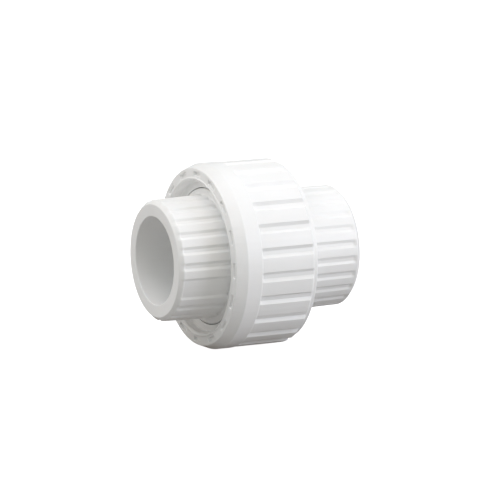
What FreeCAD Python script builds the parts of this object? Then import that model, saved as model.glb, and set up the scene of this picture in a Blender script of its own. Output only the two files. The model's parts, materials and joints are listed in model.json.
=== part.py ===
"""Pipe union for 3/4 inch plastic pipe: a tailpiece, a union nut, a threaded end and an O-ring.

The axis of the union is X. Along it, places are stations in millimetres from the end face of
the tailpiece, and every body's Placement then moves the union back by half its length, so
that the origin of the model is the middle of the union, on its axis. Z is up.
"""
import FreeCAD, Part
import Sketcher
import os
import re

doc = FreeCAD.newDocument("pipe_union")

# Driving dimensions in millimetres, degrees and counts: alias, value, meaning.
DIMENSIONS = [
    ("overall_length", 60.8, "end face of the tailpiece to end face of the threaded end"),
    ("socket_radius", 13.35, "pipe socket, mid way down its slight taper"),
    ("socket_depth", 25.4, "end face to the stop that the pipe meets"),
    ("socket_lead", 0.15, "chamfer at the mouth of a socket"),
    ("waterway_radius", 10.2, "bore between the two pipe stops"),
    ("hub_end_radius", 18.35, "hub at its end face, before the chamfer"),
    ("hub_root_radius", 18.7, "hub at its inner end; the difference is the mould's draft"),
    ("hub_chamfer", 1.25, "edge of a hub's end face"),
    ("flute_count", 24, "flutes round a hub"),
    ("tailpiece_flute_start", 1.0, "end face to the flutes of the tailpiece"),
    ("threaded_flute_start", 2.0, "the same on the threaded end"),
    ("flute_width", 1.75, "one flute"),
    ("flute_depth", 0.42, "one flute"),
    ("tailpiece_phase", 12.2, "degrees from +Z towards -Y to the middle of a flute"),
    ("panel_phase", 109.7, "the same to the middle of the tailpiece's flat panel"),
    ("panel_angle", 15, "degrees from one flute to the next, which the panel joins"),
    ("threaded_phase", 4.1, "the same to a flute of the threaded end"),
    ("nut_phase", 4.8, "the same to the middle of a valley of the nut"),
    ("collar_start", 17.0, "front of the tailpiece's collar"),
    ("collar_radius", 20.6, "collar, which centres the nut's lip"),
    ("collar_chamfer", 0.4, "front edge of the collar, and outer edges of the flange"),
    ("flange_start", 24.4, "shoulder that the nut's lip bears on"),
    ("flange_radius", 23.55, "passes through the nut's thread"),
    ("seal_station", 29.6, "plane where the two halves meet"),
    ("groove_inner", 14.4, "inner wall of the O-ring's groove"),
    ("groove_outer", 18.8, "outer wall of the O-ring's groove"),
    ("groove_depth", 2.7, "O-ring's groove"),
    ("ring_width", 4.2, "O-ring's section, squeezed flat by the tailpiece"),
    ("ring_rounding", 1.3, "rounded sides of that section"),
    ("thread_pitch", 3.6, "right-hand trapezoidal thread"),
    ("thread_crest", 25.1, "crest of the outer thread"),
    ("nut_crest", 23.8, "crest of the thread in the nut"),
    ("thread_gap", 0.25, "play of the thread, radially and on each flank"),
    ("flank_slope", 0.268, "tangent of the 15 degree flank angle"),
    ("thread_end", 40.3, "back face of the threaded collar"),
    ("thread_lead", 1.2, "chamfer at the start of a thread"),
    ("cut_start", 24.8, "where the outer thread's helical cut starts, clear of the thread"),
    ("cut_turns", 5, "turns of a helical cut, which ends clear of the thread too"),
    ("nut_front", 14.2, "front face of the nut"),
    ("nut_back", 41.4, "back face of the nut"),
    ("nut_radius", 28.25, "grip ribs and front band of the nut"),
    ("nut_face_radius", 26.9, "outer edge of the front face"),
    ("bevel_end", 17.6, "back edge of the front bevel"),
    ("rib_start", 22.4, "front end of the valleys between the grip ribs"),
    ("rib_count", 24, "grip ribs"),
    ("valley_width", 2.5, "gap between two ribs"),
    ("valley_radius", 27.2, "floor of the valleys"),
    ("back_ring_radius", 27.1, "smooth ring behind the ribs"),
    ("rib_slope_start", 39.5, "where the ribs start to slope down to the back ring"),
    ("rib_slope_end", 40.25, "where that slope meets the back ring"),
    ("opening_radius", 23.2, "front opening of the nut"),
    ("bead_radius", 23.9, "crest of the raised bead round that opening"),
    ("bead_height", 0.35, "how far the bead stands out of the front face"),
    ("lip_front", 17.2, "front face of the nut's lip"),
    ("lip_radius", 21.0, "bore of the lip"),
    ("lip_cove", 0.6, "sloped corner between the opening and the lip, half as wide as long"),
    ("relief_radius", 25.5, "room for the flange behind the lip"),
    ("relief_end", 30.2, "back end of that room, where the nut's thread starts"),
    ("face_pocket_inner", 24.75, "inner wall of the pockets in the nut's front face"),
    ("face_pocket_outer", 25.95, "outer wall of those pockets"),
    ("face_pocket_depth", 0.8, "depth of those pockets"),
    ("face_pocket_angle", 10, "degrees that one of them covers"),
    ("face_pocket_count", 16, "pockets round the face, the first one straight up"),
]

sheet = doc.addObject("Spreadsheet::Sheet", "dim")
for row, (alias, size, meaning) in enumerate(DIMENSIONS, start=1):
    sheet.set(f"A{row}", alias)
    sheet.set(f"B{row}", str(size))
    sheet.setAlias(f"B{row}", alias)
    sheet.set(f"C{row}", meaning)
doc.recompute()


def bound(formula):
    """A formula in the sheet's aliases, written as other objects' expressions need it."""
    return re.sub(r"[a-z_]+", r"dim.\g<0>", formula)


def new_body(name):
    """A body whose Label is its node's name, set so that the origin is the union's middle."""
    body = doc.addObject("PartDesign::Body", name)
    body.Label = name
    body.setExpression("Placement.Base.x", bound("-overall_length / 2"))
    return body


def origin_part(body, role):
    """One of the planes or axes of a body's own origin."""
    return next(item for item in body.Origin.OriginFeatures if item.Role == role)


def outline(body, name, corners, phase=None):
    """A closed outline of straight sides that follows the sheet, in a plane through the axis.

    Each corner is a pair of formulas: its station and its distance from the axis. The plane
    is XZ, or that plane turned about the axis by the formula in phase, from +Z towards -Y.
    """
    sketch = body.newObject("Sketcher::SketchObject", name)
    sketch.AttachmentSupport = [(origin_part(body, "XZ_Plane"), "")]
    sketch.MapMode = "FlatFace"
    if phase:
        sketch.AttachmentOffset = FreeCAD.Placement(
            FreeCAD.Vector(), FreeCAD.Rotation(FreeCAD.Vector(1, 0, 0), 1))
        sketch.setExpression("AttachmentOffset.Rotation.Angle", bound(phase))
    places = [FreeCAD.Vector(sheet.evalExpression(station), sheet.evalExpression(radius), 0)
              for station, radius in corners]
    for side, place in enumerate(places):
        sketch.addGeometry(Part.LineSegment(place, places[(side + 1) % len(places)]))
    origin, start, end, vertical_axis = -1, 1, 2, -2
    for side, place in enumerate(places):
        station, radius = corners[side]
        sketch.addConstraint(
            Sketcher.Constraint("Coincident", (side - 1) % len(places), end, side, start))
        if place.x == 0:
            sketch.addConstraint(
                Sketcher.Constraint("PointOnObject", side, start, vertical_axis))
        else:
            along = sketch.addConstraint(
                Sketcher.Constraint("DistanceX", origin, start, side, start, place.x))
            sketch.setExpression(f"Constraints[{along}]", bound(station))
        out = sketch.addConstraint(
            Sketcher.Constraint("DistanceY", origin, start, side, start, place.y))
        sketch.setExpression(f"Constraints[{out}]", bound(radius))
    return sketch


def turned(body, name, corners):
    """A solid of revolution about the axis."""
    sketch = outline(body, name + "_outline", corners)
    solid = body.newObject("PartDesign::Revolution", name)
    solid.Profile = sketch
    solid.ReferenceAxis = (sketch, ["H_Axis"])
    solid.Angle = 360
    return solid


def pattern(body, feature, count):
    """Repeats a feature round the axis; count is an alias of the sheet."""
    ring = body.newObject("PartDesign::PolarPattern", feature.Name + "_ring")
    ring.Originals = [feature]
    ring.Axis = (origin_part(body, "X_Axis"), [""])
    ring.Angle = 360
    ring.setExpression("Occurrences", bound(count))
    body.Tip = ring
    return ring


def slots(body, name, corners, width, count, phase):
    """Slots of one width, cut into the outside all round.

    Corners give the side view of a slot, and phase is the first one's angle from +Z.
    """
    side_view = outline(body, name + "_outline", corners, phase)
    slot = body.newObject("PartDesign::Pocket", name)
    slot.Profile = side_view
    slot.Midplane = True
    slot.setExpression("Length", bound(width))
    return pattern(body, slot, count)


def ring_sector(body, name, corners, angle, phase=None):
    """Cuts a part of a turned groove; corners give its section, phase its middle from +Z."""
    section = outline(body, name + "_outline", corners, phase)
    sector = body.newObject("PartDesign::Groove", name)
    sector.Profile = section
    sector.ReferenceAxis = (section, ["H_Axis"])
    sector.Midplane = True
    sector.setExpression("Angle", bound(angle))
    return sector


def thread_cut(body, name, start, floor, mouth):
    """A helical cut with the flanks of the thread; floor and mouth are radii in the sheet.

    Half way up the thread it is half a pitch wide, and wider by the flanks' play.
    """
    middle = "(thread_pitch / 4 + thread_gap / 2)"
    spread = "flank_slope * ((thread_crest - nut_crest) / 2 + thread_gap)"
    profile = outline(body, name + "_outline", [
        (f"{start} - {middle} - {spread}", mouth),
        (f"{start} - {middle} + {spread}", floor),
        (f"{start} + {middle} - {spread}", floor),
        (f"{start} + {middle} + {spread}", mouth),
    ])
    cut = body.newObject("PartDesign::SubtractiveHelix", name)
    cut.Profile = profile
    cut.ReferenceAxis = (profile, ["H_Axis"])
    cut.Mode = "pitch-turns-angle"
    cut.setExpression("Pitch", bound("thread_pitch"))
    cut.setExpression("Turns", bound("cut_turns"))
    return cut


# The two radii that every helical cut of the thread lies between.
THREAD_INSIDE = "nut_crest - thread_gap"
THREAD_OUTSIDE = "thread_crest + thread_gap"


def make_tailpiece():
    """The plain half: a socket, fluted outside, with a panel, and the collar and flange."""
    body = new_body("tailpiece")
    turned(body, "tailpiece_turned", [
        ("0", "socket_radius + socket_lead"),
        ("0", "hub_end_radius - hub_chamfer"),
        ("hub_chamfer", "hub_end_radius"),
        ("collar_start", "hub_root_radius"),
        ("collar_start", "collar_radius - collar_chamfer"),
        ("collar_start + collar_chamfer", "collar_radius"),
        ("flange_start", "collar_radius"),
        ("flange_start", "flange_radius"),
        ("seal_station - collar_chamfer", "flange_radius"),
        ("seal_station", "flange_radius - collar_chamfer"),
        ("seal_station", "waterway_radius"),
        ("socket_depth", "waterway_radius"),
        ("socket_depth", "socket_radius"),
        ("socket_lead", "socket_radius"),
    ])
    side_view = [
        ("tailpiece_flute_start", "hub_end_radius - flute_depth"),
        ("collar_start", "hub_root_radius - flute_depth"),
        ("collar_start", "collar_radius"),
        ("tailpiece_flute_start", "collar_radius"),
    ]
    slots(body, "tailpiece_flute", side_view, "flute_width", "flute_count", "tailpiece_phase")
    body.Tip = ring_sector(body, "tailpiece_panel", side_view, "panel_angle", "panel_phase")
    return body


def make_threaded_end():
    """The threaded half: face groove for the O-ring, outer thread, and a fluted socket hub."""
    body = new_body("threaded_end")
    turned(body, "threaded_end_turned", [
        ("seal_station", "waterway_radius"),
        ("seal_station", "groove_inner"),
        ("seal_station + groove_depth", "groove_inner"),
        ("seal_station + groove_depth", "groove_outer"),
        ("seal_station", "groove_outer"),
        ("seal_station", "thread_crest - thread_lead"),
        ("seal_station + thread_lead", "thread_crest"),
        ("thread_end - thread_lead", "thread_crest"),
        ("thread_end", "thread_crest - thread_lead"),
        ("thread_end", "hub_root_radius"),
        ("overall_length - hub_chamfer", "hub_end_radius"),
        ("overall_length", "hub_end_radius - hub_chamfer"),
        ("overall_length", "socket_radius + socket_lead"),
        ("overall_length - socket_lead", "socket_radius"),
        ("overall_length - socket_depth", "socket_radius"),
        ("overall_length - socket_depth", "waterway_radius"),
    ])
    slots(body, "threaded_end_flute", [
        ("thread_end", "hub_root_radius - flute_depth"),
        ("overall_length - threaded_flute_start", "hub_end_radius - flute_depth"),
        ("overall_length - threaded_flute_start", "collar_radius"),
        ("thread_end", "collar_radius"),
    ], "flute_width", "flute_count", "threaded_phase")
    thread_cut(body, "outer_thread", "cut_start", THREAD_INSIDE, THREAD_OUTSIDE)
    return body


def make_union_nut():
    """The nut: ribbed grip, pocketed front face, lip that pulls on the flange, inner thread."""
    body = new_body("union_nut")
    turned(body, "nut_turned", [
        ("nut_front + bead_height", "opening_radius"),
        ("nut_front - bead_height", "bead_radius"),
        ("nut_front", "bead_radius + bead_height"),
        ("nut_front", "nut_face_radius"),
        ("bevel_end", "nut_radius"),
        ("rib_slope_start", "nut_radius"),
        ("rib_slope_end", "back_ring_radius"),
        ("nut_back", "back_ring_radius"),
        ("nut_back", THREAD_OUTSIDE),
        ("nut_back - thread_lead", "nut_crest"),
        ("relief_end", "nut_crest"),
        ("relief_end", "relief_radius"),
        ("flange_start", "relief_radius"),
        ("flange_start", "lip_radius"),
        ("lip_front", "lip_radius"),
        ("lip_front", "opening_radius - lip_cove / 2"),
        ("lip_front - lip_cove", "opening_radius"),
    ])
    pocket = ring_sector(body, "face_pocket", [
        ("nut_front", "face_pocket_inner"),
        ("nut_front", "face_pocket_outer"),
        ("nut_front + face_pocket_depth", "face_pocket_outer"),
        ("nut_front + face_pocket_depth", "face_pocket_inner"),
    ], "face_pocket_angle")
    pattern(body, pocket, "face_pocket_count")
    slots(body, "grip_valley", [
        ("rib_start", "valley_radius"),
        ("rib_slope_end", "valley_radius"),
        ("rib_slope_end", "nut_radius + thread_gap"),
        ("rib_start", "nut_radius + thread_gap"),
    ], "valley_width", "rib_count", "nut_phase")
    thread_cut(body, "nut_thread", "cut_start + thread_pitch / 2", THREAD_OUTSIDE, THREAD_INSIDE)
    return body


def make_o_ring():
    """The O-ring in its groove, flattened to the groove's depth by the closed union."""
    body = new_body("o_ring")
    inner = "(groove_inner + groove_outer - ring_width) / 2"
    outer = "(groove_inner + groove_outer + ring_width) / 2"
    ring = turned(body, "o_ring_turned", [
        ("seal_station", inner),
        ("seal_station", outer),
        ("seal_station + groove_depth", outer),
        ("seal_station + groove_depth", inner),
    ])
    doc.recompute()
    corners = [f"Edge{number}" for number, edge in enumerate(ring.Shape.Edges, start=1)
               if isinstance(edge.Curve, Part.Circle)]
    rounded = body.newObject("PartDesign::Fillet", "o_ring_rounded")
    rounded.Base = (ring, corners)
    rounded.setExpression("Radius", bound("ring_rounding"))
    return body


pieces = [make_tailpiece(), make_threaded_end(), make_union_nut(), make_o_ring()]
doc.recompute()

for item in doc.Objects:
    if "Invalid" in item.State or "Error" in item.State:
        raise RuntimeError(f"{item.Label} failed: {item.State}")
for piece in pieces:
    if piece.Shape.isNull() or not piece.Shape.isValid() or len(piece.Shape.Solids) != 1:
        raise RuntimeError(f"{piece.Label} isn't one valid solid")

os.makedirs("parts", exist_ok=True)
for piece in pieces:
    piece.Shape.exportStep(f"parts/{piece.Label}.step")
    print(f"{piece.Label}: {piece.Shape.Volume / 1000:.2f} cm3")
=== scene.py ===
import json
import math

import bmesh
import bpy
import numpy as np
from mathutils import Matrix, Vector


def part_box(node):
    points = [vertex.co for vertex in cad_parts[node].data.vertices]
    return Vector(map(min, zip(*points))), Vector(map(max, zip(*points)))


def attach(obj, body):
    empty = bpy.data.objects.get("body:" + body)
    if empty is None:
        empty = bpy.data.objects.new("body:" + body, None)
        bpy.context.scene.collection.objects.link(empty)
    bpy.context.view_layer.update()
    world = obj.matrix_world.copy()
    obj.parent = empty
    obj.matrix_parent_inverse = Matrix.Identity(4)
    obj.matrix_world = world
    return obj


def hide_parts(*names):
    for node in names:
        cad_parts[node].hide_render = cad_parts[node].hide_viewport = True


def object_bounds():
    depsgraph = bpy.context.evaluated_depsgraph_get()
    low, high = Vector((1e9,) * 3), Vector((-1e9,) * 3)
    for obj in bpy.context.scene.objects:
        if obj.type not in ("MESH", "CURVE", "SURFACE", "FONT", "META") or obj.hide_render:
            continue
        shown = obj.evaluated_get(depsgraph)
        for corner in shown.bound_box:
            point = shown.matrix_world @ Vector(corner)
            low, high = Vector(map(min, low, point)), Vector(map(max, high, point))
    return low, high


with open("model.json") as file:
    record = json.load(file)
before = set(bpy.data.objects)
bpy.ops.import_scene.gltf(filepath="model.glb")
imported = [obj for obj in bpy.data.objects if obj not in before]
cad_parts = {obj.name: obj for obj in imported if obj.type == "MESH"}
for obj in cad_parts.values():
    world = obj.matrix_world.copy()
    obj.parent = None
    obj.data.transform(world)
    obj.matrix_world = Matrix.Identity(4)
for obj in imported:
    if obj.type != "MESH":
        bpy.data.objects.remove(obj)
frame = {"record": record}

# The four mouldings of a pipe union, each built as one closed ring of quads round the X axis.
# An outline is a list of corners (x, distance from the axis, rounding), and the angle round the
# axis runs in degrees from +Z towards -Y. Grooves then sink into that turned shape.
# Sizes are in millimetres. Names that end in START, END, FRONT, BACK, FACE or AT are places
# along X, MOUTH and FLOOR are the widths of a groove at its top and bottom, EDGE rounds its
# corners, PHASE is the angle of the first groove, and the name of a feature alone, such as
# COLLAR, is its radius.

MM = 0.001
EPSILON = 0.01
cad_low, cad_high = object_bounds()

# The ends of the pieces, from the frame. SEAL is where the two halves meet, and the nut's bead
# stands out of its front face. The floor's level is in metres.
TAIL_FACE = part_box("tailpiece")[0].x / MM
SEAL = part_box("tailpiece")[1].x / MM
FAR_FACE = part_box("threaded_end")[1].x / MM
BEAD_HEIGHT = 0.35
NUT_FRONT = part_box("union_nut")[0].x / MM + BEAD_HEIGHT
NUT_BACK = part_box("union_nut")[1].x / MM
FLOOR_LEVEL = cad_low.z

# Hubs and sockets, which the two ends share. A socket is wider by its taper at the mouth and
# narrower by it at the stop. Flutes start at an inset from the hub's face and deepen over their
# ramp. The tailpiece's hub is sunk between the two angles of its panel.
SOCKET = frame["record"]["mounts"][0]["dims"]["r_mm"]
SOCKET_TAPER = 0.05
SOCKET_DEPTH = 25.4
SOCKET_LEAD = 0.15
WATERWAY = 10.2
HUB_TIP = 18.35
HUB_ROOT = 18.7
HUB_CHAMFER = 1.25
HUB_ROUNDING = 0.5
HUB_SKIN = SOCKET + 1
FLUTE_COUNT = 24
FLUTE_MOUTH = 2.5
FLUTE_FLOOR = 0.95
FLUTE_EDGE = 0.3
FLUTE_DEPTH = 0.42
FLUTE_RAMP = 1.6
TAIL_FLUTE_INSET = 1.0
THREADED_FLUTE_INSET = 2.0
TAIL_PHASE = 12.2
THREADED_PHASE = 4.1
PANEL = (102.2, 117.2)

# Collar and flange of the tailpiece.
COLLAR_START = TAIL_FACE + 17.0
COLLAR = 20.6
FLANGE_START = TAIL_FACE + 24.4
FLANGE = 23.55
SMALL_CHAMFER = 0.4

# O-ring and the groove it lies in.
RING_GROOVE_INNER = 14.4
RING_GROOVE_OUTER = 18.8
RING_GROOVE_DEPTH = 2.7
RING_WIDTH = 4.2
RING_ROUNDING = 1.3

# The trapezoidal thread. Both grooves have the same section. A row of points on each flat back
# face, a margin away from the thread, keeps the shading of those faces even.
PITCH = 3.6
THREAD_CREST = 25.1
NUT_CREST = 23.8
THREAD_DEPTH = 1.55
THREAD_MOUTH = 2.4
THREAD_FLOOR = 1.57
THREAD_EDGE = 0.2
THREAD_LEAD = 1.2
FLAT_MARGIN = 0.2
HELIX_SPARE = 0.5
THREAD_END = TAIL_FACE + 40.3
OUTER_GROOVE_AT = TAIL_FACE + 24.8
INNER_GROOVE_AT = OUTER_GROOVE_AT + PITCH / 2

# The nut. Its ribs lie a step below the front band and slope down to the back ring. The valleys
# between them deepen over a ramp that starts with the step.
NUT = 28.25
NUT_RIM = 26.9
BEVEL_END = NUT_FRONT + 3.4
BEVEL_ROUNDING = 0.9
RIB_COUNT = 24
RIB_START = TAIL_FACE + 22.4
RIB_STEP = 0.15
RIB_STEP_START = RIB_START - 0.2
RIB_STEP_END = RIB_START + 0.15
VALLEY = 27.2
VALLEY_RAMP_END = RIB_START + 0.7
VALLEY_MOUTH = 3.1
VALLEY_FLOOR = 1.3
VALLEY_EDGE = 0.25
BACK_RING = 27.1
NUT_PHASE = 4.8
SLOPE_START = NUT_BACK - 1.9
SLOPE_END = NUT_BACK - 1.15
OPENING = 23.2
BEAD = 23.9
LIP_FRONT = TAIL_FACE + 17.2
LIP = 20.85
LIP_COVE = 0.6
RELIEF = 25.5
RELIEF_END = TAIL_FACE + 30.2
FACE_POCKET_COUNT = 16
FACE_POCKET_ANGLE = 10
FACE_POCKET_INNER = 24.75
FACE_POCKET_OUTER = 25.95
FACE_POCKET_DEPTH = 0.8
FACE_POCKET_TAPER = 0.3
FACE_POCKET_EDGE = 0.12


# ---------------------------------------------------------------- outlines and grids

def rounded(corners, steps=3):
    """Points of an outline, with each corner that has a rounding turned into an arc.

    The first and last corners count as neighbours, as they are in a closed outline.
    """
    points = []
    for index, (along, out, rounding) in enumerate(corners):
        here = Vector((along, out))
        if not rounding:
            points.append(here)
            continue
        behind = (Vector(corners[index - 1][:2]) - here).normalized()
        ahead = (Vector(corners[(index + 1) % len(corners)][:2]) - here).normalized()
        turn = math.pi - behind.angle(ahead)
        centre = here + (behind + ahead).normalized() * rounding / math.cos(turn / 2)
        first = here + behind * rounding * math.tan(turn / 2) - centre
        last = here + ahead * rounding * math.tan(turn / 2) - centre
        for step in range(steps + 1):
            share = step / steps * turn
            points.append(centre + (first * math.sin(turn - share) + last * math.sin(share))
                          / math.sin(turn))
    return np.array([(point.x, point.y) for point in points])


def groove_section(mouth, floor, edge, steps=3):
    """Offset across a groove against its depth, which is 1 on the floor, with soft edges.

    The offsets are in millimetres and so are mouth, floor and edge, for a groove 1 deep.
    """
    return rounded([
        (-mouth, 0, 0),
        (-mouth / 2, 0, edge),
        (-floor / 2, 1, edge),
        (floor / 2, 1, edge),
        (mouth / 2, 0, edge),
        (mouth, 0, 0),
    ], steps=steps)


def round_the_axis(section, count, phase, radius):
    """The angles where count grooves of that section bend, and their depth at any angle."""
    spread = np.degrees(section[:, 0] / radius)
    middles = phase + np.arange(count) * 360 / count
    angles = (middles[:, None] + spread[1:-1]).ravel() % 360

    def depth(angle):
        pitch = 360 / count
        offset = (angle - phase + pitch / 2) % pitch - pitch / 2
        return np.interp(offset, spread, section[:, 1])

    return angles, depth


def columns(*angle_lists, widest=3.0):
    """All the angles in order from 0 to 360, with more between those that lie far apart."""
    angles = np.unique(np.round(np.concatenate([[0, 360], *angle_lists]), 3))
    filled = [angles[:1]]
    for start, end in zip(angles[:-1], angles[1:]):
        parts = max(1, round((end - start) / widest))
        filled.append(np.linspace(start, end, parts + 1)[1:])
    return np.concatenate(filled)


def with_rows_at(points, stations, least_radius):
    """An outline with points added where it passes the stations, outside the least radius."""
    rows = [points[0]]
    for start, end in zip(points[:-1], points[1:]):
        passed = [x for x in stations if min(start[0], end[0]) < x < max(start[0], end[0])]
        if min(start[1], end[1]) > least_radius:
            for x in sorted(passed, reverse=start[0] > end[0]):
                share = (x - start[0]) / (end[0] - start[0])
                rows.append(start + share * (end - start))
        rows.append(end)
    return np.array(rows)


def spun(points, angles):
    """The stations and radii of an outline, one row for each point, one column an angle."""
    shape = (len(points), len(angles))
    return (np.broadcast_to(points[:, :1], shape).copy(),
            np.broadcast_to(points[:, 1:], shape).copy())


def helix(angles, start, end, groove_at, edge_of):
    """The stations and radii of rows that follow a thread's groove from start to end.

    edge_of turns a depth and a station into a radius, with the lead at the ends.
    """
    section = groove_section(THREAD_MOUTH, THREAD_FLOOR, THREAD_EDGE, steps=2)
    section[:, 1] *= THREAD_DEPTH

    # The bends of one pitch, with three more rows on its crest and three on its floor.
    bends = section[1:-1, 0]
    middle = len(bends) // 2
    crest = np.linspace(bends[-1], PITCH + bends[0], 5)[1:-1]
    floor = np.linspace(bends[middle - 1], bends[middle], 5)[1:-1]
    marks = np.sort(np.concatenate([bends, crest, floor]))

    # A row climbs by one pitch in a turn, so the first ones start a pitch before the thread.
    low, high = sorted((start, end))
    turns = np.arange(-2, math.ceil((high - low) / PITCH) + 3)
    first = groove_at + PITCH * math.floor((low - groove_at) / PITCH)
    places = (first + turns[:, None] * PITCH + marks).ravel()
    places = places[(places > low - PITCH - HELIX_SPARE) & (places < high + HELIX_SPARE)]
    rise = PITCH * angles / 360
    stations = np.clip(places[:, None] + rise, low, high)
    across = (stations - rise - groove_at + PITCH / 2) % PITCH - PITCH / 2
    depths = np.interp(across, section[:, 0], section[:, 1])
    if start > end:
        stations, depths = stations[::-1], depths[::-1]
    return stations, edge_of(depths, stations)


WELD = 0.0005
FLAT_WEIGHT = 80


def ring(name, stations, radii, angles):
    """A closed ring of quads: the rows go round its section, the columns round the axis."""
    turn = np.radians(angles)
    places = np.stack([stations, -radii * np.sin(turn), radii * np.cos(turn)], axis=-1) * MM
    rows, across = stations.shape
    number = np.arange(rows * across).reshape(rows, across)
    ahead = np.roll(number, -1, axis=0)
    quads = np.stack([number[:, :-1], number[:, 1:], ahead[:, 1:], ahead[:, :-1]], axis=-1)
    mesh = bpy.data.meshes.new(name)
    mesh.from_pydata(places.reshape(-1, 3).tolist(), [], quads.reshape(-1, 4).tolist())
    form = bmesh.new()
    form.from_mesh(mesh)
    bmesh.ops.remove_doubles(form, verts=form.verts, dist=WELD * MM)
    bmesh.ops.recalc_face_normals(form, faces=form.faces)
    for face in form.faces:
        face.smooth = True
    form.to_mesh(mesh)
    form.free()
    piece = bpy.data.objects.new(name, mesh)
    bpy.context.scene.collection.objects.link(piece)
    shading = piece.modifiers.new("crisp_flats", "WEIGHTED_NORMAL")
    shading.weight = FLAT_WEIGHT
    return piece


# ---------------------------------------------------------------- the four pieces

FLUTE_SECTION = groove_section(FLUTE_MOUTH, FLUTE_FLOOR, FLUTE_EDGE)
FLUTE_SECTION[:, 1] *= FLUTE_DEPTH


def smooth(share):
    """Eases a share between 0 and 1, level at both ends."""
    share = np.clip(share, 0, 1)
    return share ** 2 * (3 - 2 * share)


def flutes(stations, radii, angles, phase, face, inset, panel=(0, 0)):
    """The radii of a hub with its flutes sunk, and all between the angles of its panel."""
    _, depth = round_the_axis(FLUTE_SECTION, FLUTE_COUNT, phase, HUB_TIP)
    sunk = np.where((angles > panel[0]) & (angles < panel[1]), FLUTE_DEPTH, depth(angles))
    inward = np.abs(stations - face)
    share = smooth((inward - inset) / FLUTE_RAMP + 0.5)
    on_hub = (radii > HUB_SKIN) & (radii < HUB_ROOT + EPSILON)
    return radii - on_hub * share * sunk


def flute_rows(face, inward, inset):
    """Stations that draw the ends of the flutes; inward is 1 or -1, into the union."""
    return face + inward * (inset + FLUTE_RAMP * np.linspace(-0.5, 0.5, 9))


def socket_corners(face, inward):
    """The inside of a socket, from the pipe stop to the mouth; inward is 1 or -1."""
    return [
        (face + inward * SOCKET_DEPTH, WATERWAY, 0.25),
        (face + inward * SOCKET_DEPTH, SOCKET - SOCKET_TAPER, 0.3),
        (face + inward * SOCKET_LEAD, SOCKET + SOCKET_TAPER, 0.3),
        (face, SOCKET + SOCKET_TAPER + SOCKET_LEAD, 0.2),
    ]


def make_tailpiece():
    """The plain end: fluted hub, collar that centres the nut, and flange that it holds."""
    outline = rounded(socket_corners(TAIL_FACE, 1) + [
        (TAIL_FACE, HUB_TIP - HUB_CHAMFER, 0.35),
        (TAIL_FACE + HUB_CHAMFER, HUB_TIP, HUB_ROUNDING),
        (COLLAR_START, HUB_ROOT, 0.5),
        (COLLAR_START, COLLAR - SMALL_CHAMFER, 0.15),
        (COLLAR_START + SMALL_CHAMFER, COLLAR, 0.15),
        (FLANGE_START, COLLAR, 0.3),
        (FLANGE_START, FLANGE, 0.2),
        (SEAL - SMALL_CHAMFER, FLANGE, 0.15),
        (SEAL, FLANGE - SMALL_CHAMFER, 0.15),
        (SEAL, WATERWAY, 0.2),
    ])
    outline = with_rows_at(outline, flute_rows(TAIL_FACE, 1, TAIL_FLUTE_INSET), HUB_SKIN)
    bends, _ = round_the_axis(FLUTE_SECTION, FLUTE_COUNT, TAIL_PHASE, HUB_TIP)
    angles = columns(bends)
    stations, radii = spun(outline, angles)
    radii = flutes(stations, radii, angles, TAIL_PHASE, TAIL_FACE, TAIL_FLUTE_INSET, PANEL)
    return ring("tailpiece_moulding", stations, radii, angles)


def make_threaded_end():
    """The threaded end: sealing face with the O-ring's groove, outer thread, fluted hub."""
    bends, _ = round_the_axis(FLUTE_SECTION, FLUTE_COUNT, THREADED_PHASE, HUB_TIP)
    angles = columns(bends)
    face = spun(rounded([
        (SEAL, WATERWAY, 0),
        (SEAL, RING_GROOVE_INNER, 0.15),
        (SEAL + RING_GROOVE_DEPTH, RING_GROOVE_INNER, 0.3),
        (SEAL + RING_GROOVE_DEPTH, RING_GROOVE_OUTER, 0.3),
        (SEAL, RING_GROOVE_OUTER, 0.15),
        (SEAL, THREAD_CREST, 0),
    ])[:-1], angles)

    def outer_radius(depths, stations):
        lead = np.minimum(stations - SEAL, THREAD_END - stations) + THREAD_CREST - THREAD_LEAD
        return np.minimum(THREAD_CREST - depths, lead)

    thread = helix(angles, SEAL, THREAD_END, OUTER_GROOVE_AT, outer_radius)
    outline = rounded([
        (THREAD_END, THREAD_CREST, 0),
        (THREAD_END, THREAD_CREST - THREAD_DEPTH - FLAT_MARGIN, 0),
        (THREAD_END, HUB_ROOT, 0.4),
        (FAR_FACE - HUB_CHAMFER, HUB_TIP, HUB_ROUNDING),
        (FAR_FACE, HUB_TIP - HUB_CHAMFER, 0.35),
    ] + socket_corners(FAR_FACE, -1)[::-1])[1:]
    outline = with_rows_at(outline, flute_rows(FAR_FACE, -1, THREADED_FLUTE_INSET), HUB_SKIN)
    hub = spun(outline, angles)
    hub = hub[0], flutes(*hub, angles, THREADED_PHASE, FAR_FACE, THREADED_FLUTE_INSET)
    stations, radii = (np.concatenate(parts) for parts in zip(face, thread, hub))
    return ring("threaded_end_moulding", stations, radii, angles)


def pocket_section(size, flare):
    """A face pocket in one direction: its mouth is larger than its size, its floor smaller."""
    return groove_section(size + flare, size - FACE_POCKET_TAPER, FACE_POCKET_EDGE, steps=2)


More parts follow.
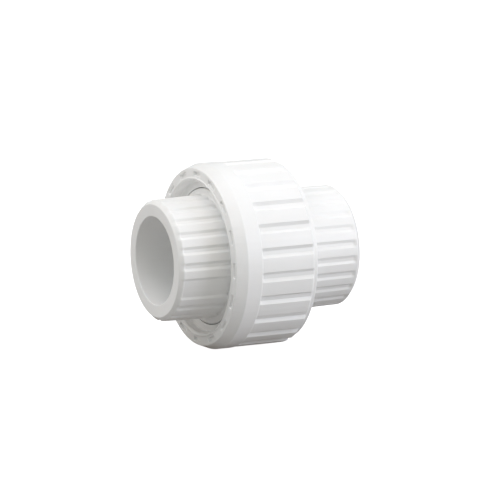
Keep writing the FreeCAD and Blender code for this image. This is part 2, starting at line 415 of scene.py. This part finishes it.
def make_union_nut():
    """The nut: pocketed front face, bevel, ribbed grip, back ring, thread and lip."""
    valley = groove_section(VALLEY_MOUTH, VALLEY_FLOOR, VALLEY_EDGE)
    valley_bends, valley_depth = round_the_axis(valley, RIB_COUNT, NUT_PHASE, NUT)
    pocket_middle = (FACE_POCKET_INNER + FACE_POCKET_OUTER) / 2
    pocket_length = math.radians(FACE_POCKET_ANGLE) * pocket_middle
    along = pocket_section(pocket_length, 0.2)
    pocket_bends, pocket_along = round_the_axis(along, FACE_POCKET_COUNT, 0, pocket_middle)
    angles = columns(valley_bends, pocket_bends)

    pocket_width = FACE_POCKET_OUTER - FACE_POCKET_INNER
    across = pocket_section(pocket_width, 0.15)
    face_rows = [(NUT_FRONT, pocket_middle + offset, 0) for offset in across[1:-1, 0]]
    outside = rounded([
        (LIP_FRONT - LIP_COVE, OPENING, 0),
        (NUT_FRONT + BEAD_HEIGHT, OPENING, 0.4),
        (NUT_FRONT - BEAD_HEIGHT, BEAD, 0.2),
        (NUT_FRONT, BEAD + BEAD_HEIGHT, 0.1),
        *face_rows,
        (NUT_FRONT, NUT_RIM, 0.3),
        (BEVEL_END, NUT, BEVEL_ROUNDING),
        (RIB_STEP_START, NUT, 0.2),
        (RIB_STEP_END, NUT - RIB_STEP, 0.2),
        (SLOPE_START, NUT - RIB_STEP, 0.4),
        (SLOPE_END, BACK_RING, 0.3),
        (NUT_BACK, BACK_RING, 0.35),
        (NUT_BACK, NUT_CREST + THREAD_DEPTH + FLAT_MARGIN, 0),
        (NUT_BACK, NUT_CREST, 0),
    ])[1:-1]
    valley_ramp = np.linspace(RIB_STEP_START, VALLEY_RAMP_END, 8)
    outside = with_rows_at(outside, valley_ramp, VALLEY)
    stations, radii = spun(outside, angles)

    share = smooth((stations - RIB_STEP_START) / (VALLEY_RAMP_END - RIB_STEP_START))
    radii = radii - np.maximum(radii - VALLEY, 0) * share * valley_depth(angles)
    on_face = (stations < NUT_FRONT + EPSILON) & (radii > BEAD)
    pocket_across = np.interp(radii - pocket_middle, across[:, 0], across[:, 1])
    stations = stations + on_face * FACE_POCKET_DEPTH * pocket_across * pocket_along(angles)

    def inner_radius(depths, places):
        lead = NUT_CREST + THREAD_DEPTH * (1 - (NUT_BACK - places) / THREAD_LEAD)
        return np.maximum(NUT_CREST + depths, lead)

    thread = helix(angles, NUT_BACK, RELIEF_END, INNER_GROOVE_AT, inner_radius)
    inside = spun(rounded([
        (RELIEF_END, NUT_CREST, 0),
        (RELIEF_END, RELIEF, 0.1),
        (FLANGE_START, RELIEF, 0.3),
        (FLANGE_START, LIP, 0.2),
        (LIP_FRONT, LIP, 0.2),
        (LIP_FRONT, OPENING - LIP_COVE / 2, 0.3),
        (LIP_FRONT - LIP_COVE, OPENING, 0.3),
        (NUT_FRONT, OPENING, 0),
    ])[1:-1], angles)
    grids = zip((stations, radii), thread, inside)
    stations, radii = (np.concatenate(parts) for parts in grids)
    return ring("union_nut_moulding", stations, radii, angles)


def make_o_ring():
    """The O-ring, pressed to the depth of its groove, with round sides."""
    middle = (RING_GROOVE_INNER + RING_GROOVE_OUTER) / 2
    inner, outer = middle - RING_WIDTH / 2, middle + RING_WIDTH / 2
    outline = rounded([
        (SEAL, inner, RING_ROUNDING),
        (SEAL, outer, RING_ROUNDING),
        (SEAL + RING_GROOVE_DEPTH, outer, RING_ROUNDING),
        (SEAL + RING_GROOVE_DEPTH, inner, RING_ROUNDING),
    ], steps=6)
    angles = columns()
    return ring("o_ring_rubber", *spun(outline, angles), angles)


# ---------------------------------------------------------------- materials

def new_material(name):
    """A material with its node tree, Principled shader and object coordinates."""
    material = bpy.data.materials.new(name)
    material.use_nodes = True
    tree = material.node_tree
    shader = tree.nodes["Principled BSDF"]
    place = tree.nodes.new("ShaderNodeTexCoord").outputs["Object"]
    return material, tree, shader, place


def noise(tree, place, scale, detail=2.0, roughness=0.5):
    """The value of a noise texture; scale is in features per metre."""
    texture = tree.nodes.new("ShaderNodeTexNoise")
    texture.inputs["Scale"].default_value = scale
    texture.inputs["Detail"].default_value = detail
    texture.inputs["Roughness"].default_value = roughness
    tree.links.new(place, texture.inputs["Vector"])
    return texture.outputs["Fac"]


def ramp(tree, value, low, high):
    """Turns a noise value into numbers or colours between low and high."""
    node = tree.nodes.new("ShaderNodeValToRGB")
    node.color_ramp.elements[0].position = 0.3
    node.color_ramp.elements[1].position = 0.7
    for element, colour in zip(node.color_ramp.elements, (low, high)):
        element.color = (*colour, 1) if isinstance(colour, tuple) else (colour,) * 3 + (1,)
    tree.links.new(value, node.inputs["Fac"])
    return node.outputs["Color"]


def bump(tree, shader, layers):
    """Chains bump nodes onto a shader; each layer is a height, its strength and depth."""
    normal = None
    for height, strength, depth in layers:
        node = tree.nodes.new("ShaderNodeBump")
        node.inputs["Strength"].default_value = strength
        node.inputs["Distance"].default_value = depth
        tree.links.new(height, node.inputs["Height"])
        if normal is not None:
            tree.links.new(normal, node.inputs["Normal"])
        normal = node.outputs["Normal"]
    tree.links.new(normal, shader.inputs["Normal"])


DULL_WHITE = (0.885, 0.884, 0.876)
CLEAN_WHITE = (0.915, 0.914, 0.908)


def white_pvc(name, tone):
    """White moulded PVC with a satin gloss; tone scales its whiteness."""
    material, tree, shader, place = new_material(name)
    clouds = noise(tree, place, 70, detail=3)
    dull = tuple(tone * part for part in DULL_WHITE)
    clean = tuple(tone * part for part in CLEAN_WHITE)
    tree.links.new(ramp(tree, clouds, dull, clean), shader.inputs["Base Color"])
    polish = noise(tree, place, 240, detail=4, roughness=0.6)
    tree.links.new(ramp(tree, polish, 0.33, 0.43), shader.inputs["Roughness"])
    bump(tree, shader, [
        (noise(tree, place, 130, detail=1), 0.35, 0.02 * MM),
        (noise(tree, place, 2600, detail=3), 0.25, 0.006 * MM),
    ])
    shader.inputs["IOR"].default_value = 1.53
    shader.inputs["Subsurface Weight"].default_value = 0.12
    shader.inputs["Subsurface Radius"].default_value = (1.0, 0.9, 0.8)
    shader.inputs["Subsurface Scale"].default_value = 0.6 * MM
    return material


def black_rubber():
    """Matt black EPDM."""
    material, tree, shader, place = new_material("o_ring_epdm")
    bloom = noise(tree, place, 900, detail=4)
    tree.links.new(ramp(tree, bloom, (0.018,) * 3, (0.034,) * 3), shader.inputs["Base Color"])
    tree.links.new(ramp(tree, bloom, 0.5, 0.65), shader.inputs["Roughness"])
    bump(tree, shader, [(noise(tree, place, 3000, detail=3), 0.4, 0.01 * MM)])
    return material


# ---------------------------------------------------------------- stage

CAMERA_AZIMUTH = math.radians(-26.47)
CAMERA_ELEVATION = math.radians(10.686)
CAMERA_DISTANCE = 1.4
CAMERA_LENS = 339.92
CAMERA_SENSOR = 36
CAMERA_SHIFT = (-0.0009, 0.0164)
CAMERA_CLIP = (0.01, 20)


def make_camera():
    """A long lens that looks at the socket end, a little from above."""
    camera = bpy.data.objects.new("camera", bpy.data.cameras.new("camera"))
    bpy.context.scene.collection.objects.link(camera)
    level = math.cos(CAMERA_ELEVATION)
    back = Vector((math.sin(CAMERA_AZIMUTH) * level, -math.cos(CAMERA_AZIMUTH) * level,
                   math.sin(CAMERA_ELEVATION)))
    camera.location = back * CAMERA_DISTANCE
    camera.rotation_mode = "QUATERNION"
    camera.rotation_quaternion = (-back).to_track_quat("-Z", "Y")
    camera.data.lens = CAMERA_LENS
    camera.data.sensor_width = CAMERA_SENSOR
    camera.data.shift_x, camera.data.shift_y = CAMERA_SHIFT
    camera.data.clip_start, camera.data.clip_end = CAMERA_CLIP
    bpy.context.scene.camera = camera


def seen_or_lit(tree, lit, seen):
    """Mixes two shaders: what the camera sees directly, and what lights the object."""
    mix = tree.nodes.new("ShaderNodeMixShader")
    path = tree.nodes.new("ShaderNodeLightPath")
    tree.links.new(path.outputs["Is Camera Ray"], mix.inputs["Fac"])
    tree.links.new(lit, mix.inputs[1])
    tree.links.new(seen, mix.inputs[2])
    return mix.outputs["Shader"]


def glowing_paper(tree, colour, glow):
    """Matt paper of a colour that gives off some light of its own."""
    paper = tree.nodes.new("ShaderNodeBsdfDiffuse")
    paper.inputs["Color"].default_value = colour
    shine = tree.nodes.new("ShaderNodeEmission")
    shine.inputs["Color"].default_value = glow
    both = tree.nodes.new("ShaderNodeAddShader")
    tree.links.new(paper.outputs["BSDF"], both.inputs[0])
    tree.links.new(shine.outputs["Emission"], both.inputs[1])
    return both.outputs["Shader"]


FLOOR_SIZE = 16
LIT_PAPER = (0.3, 0.3, 0.3, 1)
LIT_GLOW = (0.071, 0.058, 0.048, 1)
SEEN_PAPER = (0.5, 0.5, 0.5, 1)
SEEN_GLOW = (0.95, 0.95, 0.95, 1)


def make_floor():
    """A plain white floor, which reflects less onto the object than it shows."""
    bpy.ops.mesh.primitive_plane_add(size=FLOOR_SIZE, location=(0, 0, FLOOR_LEVEL))
    floor = bpy.context.object
    floor.name = "floor"
    material = bpy.data.materials.new("floor_paper")
    material.use_nodes = True
    tree = material.node_tree
    tree.nodes.remove(tree.nodes["Principled BSDF"])
    output = tree.nodes["Material Output"]
    lit = glowing_paper(tree, LIT_PAPER, LIT_GLOW)
    seen = glowing_paper(tree, SEEN_PAPER, SEEN_GLOW)
    surface = seen_or_lit(tree, lit, seen)
    tree.links.new(surface, output.inputs["Surface"])
    floor.data.materials.append(material)


ROOM_COLOUR = (0.932, 1.0, 0.969, 1)
ROOM_STRENGTH = 0.51


def make_world():
    """Even studio light from all round, and a white backdrop for the camera."""
    world = bpy.data.worlds.new("studio")
    bpy.context.scene.world = world
    world.use_nodes = True
    tree = world.node_tree
    room = tree.nodes["Background"]
    room.inputs["Color"].default_value = ROOM_COLOUR
    room.inputs["Strength"].default_value = ROOM_STRENGTH
    backdrop = tree.nodes.new("ShaderNodeBackground")
    backdrop.inputs["Color"].default_value = (1, 1, 1, 1)
    surface = seen_or_lit(tree, room.outputs["Background"], backdrop.outputs["Background"])
    tree.links.new(surface, tree.nodes["World Output"].inputs["Surface"])


# Soft boxes: name, direction from the object, watts, colour.
SOFT_BOXES = [
    ("overhead", (0, 0, 1), 2.01, (0.973, 0.918, 1.0)),
    ("overhead_front", (0, -0.6, 0.8), 1.56, (1.0, 0.846, 0.721)),
    ("overhead_left", (-0.6, 0, 0.8), 2.43, (0.967, 0.953, 1.0)),
    ("back_left", (-0.6, 0.6, 0.3), 1.83, (1.0, 0.872, 0.825)),
    ("front_right", (0.7, -0.7, 0.2), 5.83, (0.889, 0.9, 1.0)),
]
SOFT_BOX_SIZE = 0.7
SOFT_BOX_DISTANCE = 1.0


def soft_box(name, towards, power, colour):
    """A square light, aimed at the object from a direction."""
    light = bpy.data.lights.new(name, "AREA")
    light.size = SOFT_BOX_SIZE
    light.energy = power
    light.color = colour
    lamp = bpy.data.objects.new(name, light)
    bpy.context.scene.collection.objects.link(lamp)
    lamp.location = Vector(towards).normalized() * SOFT_BOX_DISTANCE
    lamp.rotation_mode = "QUATERNION"
    lamp.rotation_quaternion = (-lamp.location).to_track_quat("-Z", "Y")


# ---------------------------------------------------------------- the scene

make_camera()
make_floor()
make_world()
for lamp_settings in SOFT_BOXES:
    soft_box(*lamp_settings)

tailpiece = make_tailpiece()
threaded_end = make_threaded_end()
union_nut = make_union_nut()
o_ring = make_o_ring()

tailpiece.data.materials.append(white_pvc("tailpiece_pvc", 0.99))
threaded_end.data.materials.append(white_pvc("threaded_end_pvc", 0.99))
union_nut.data.materials.append(white_pvc("union_nut_pvc", 1.0))
o_ring.data.materials.append(black_rubber())

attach(tailpiece, "tailpiece")
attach(threaded_end, "root")
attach(union_nut, "nut")
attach(o_ring, "root")
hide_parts("tailpiece")
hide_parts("threaded_end")
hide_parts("union_nut")
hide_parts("o_ring")

view_settings = bpy.context.scene.view_settings
view_settings.view_transform = "Standard"
view_settings.look = "None"
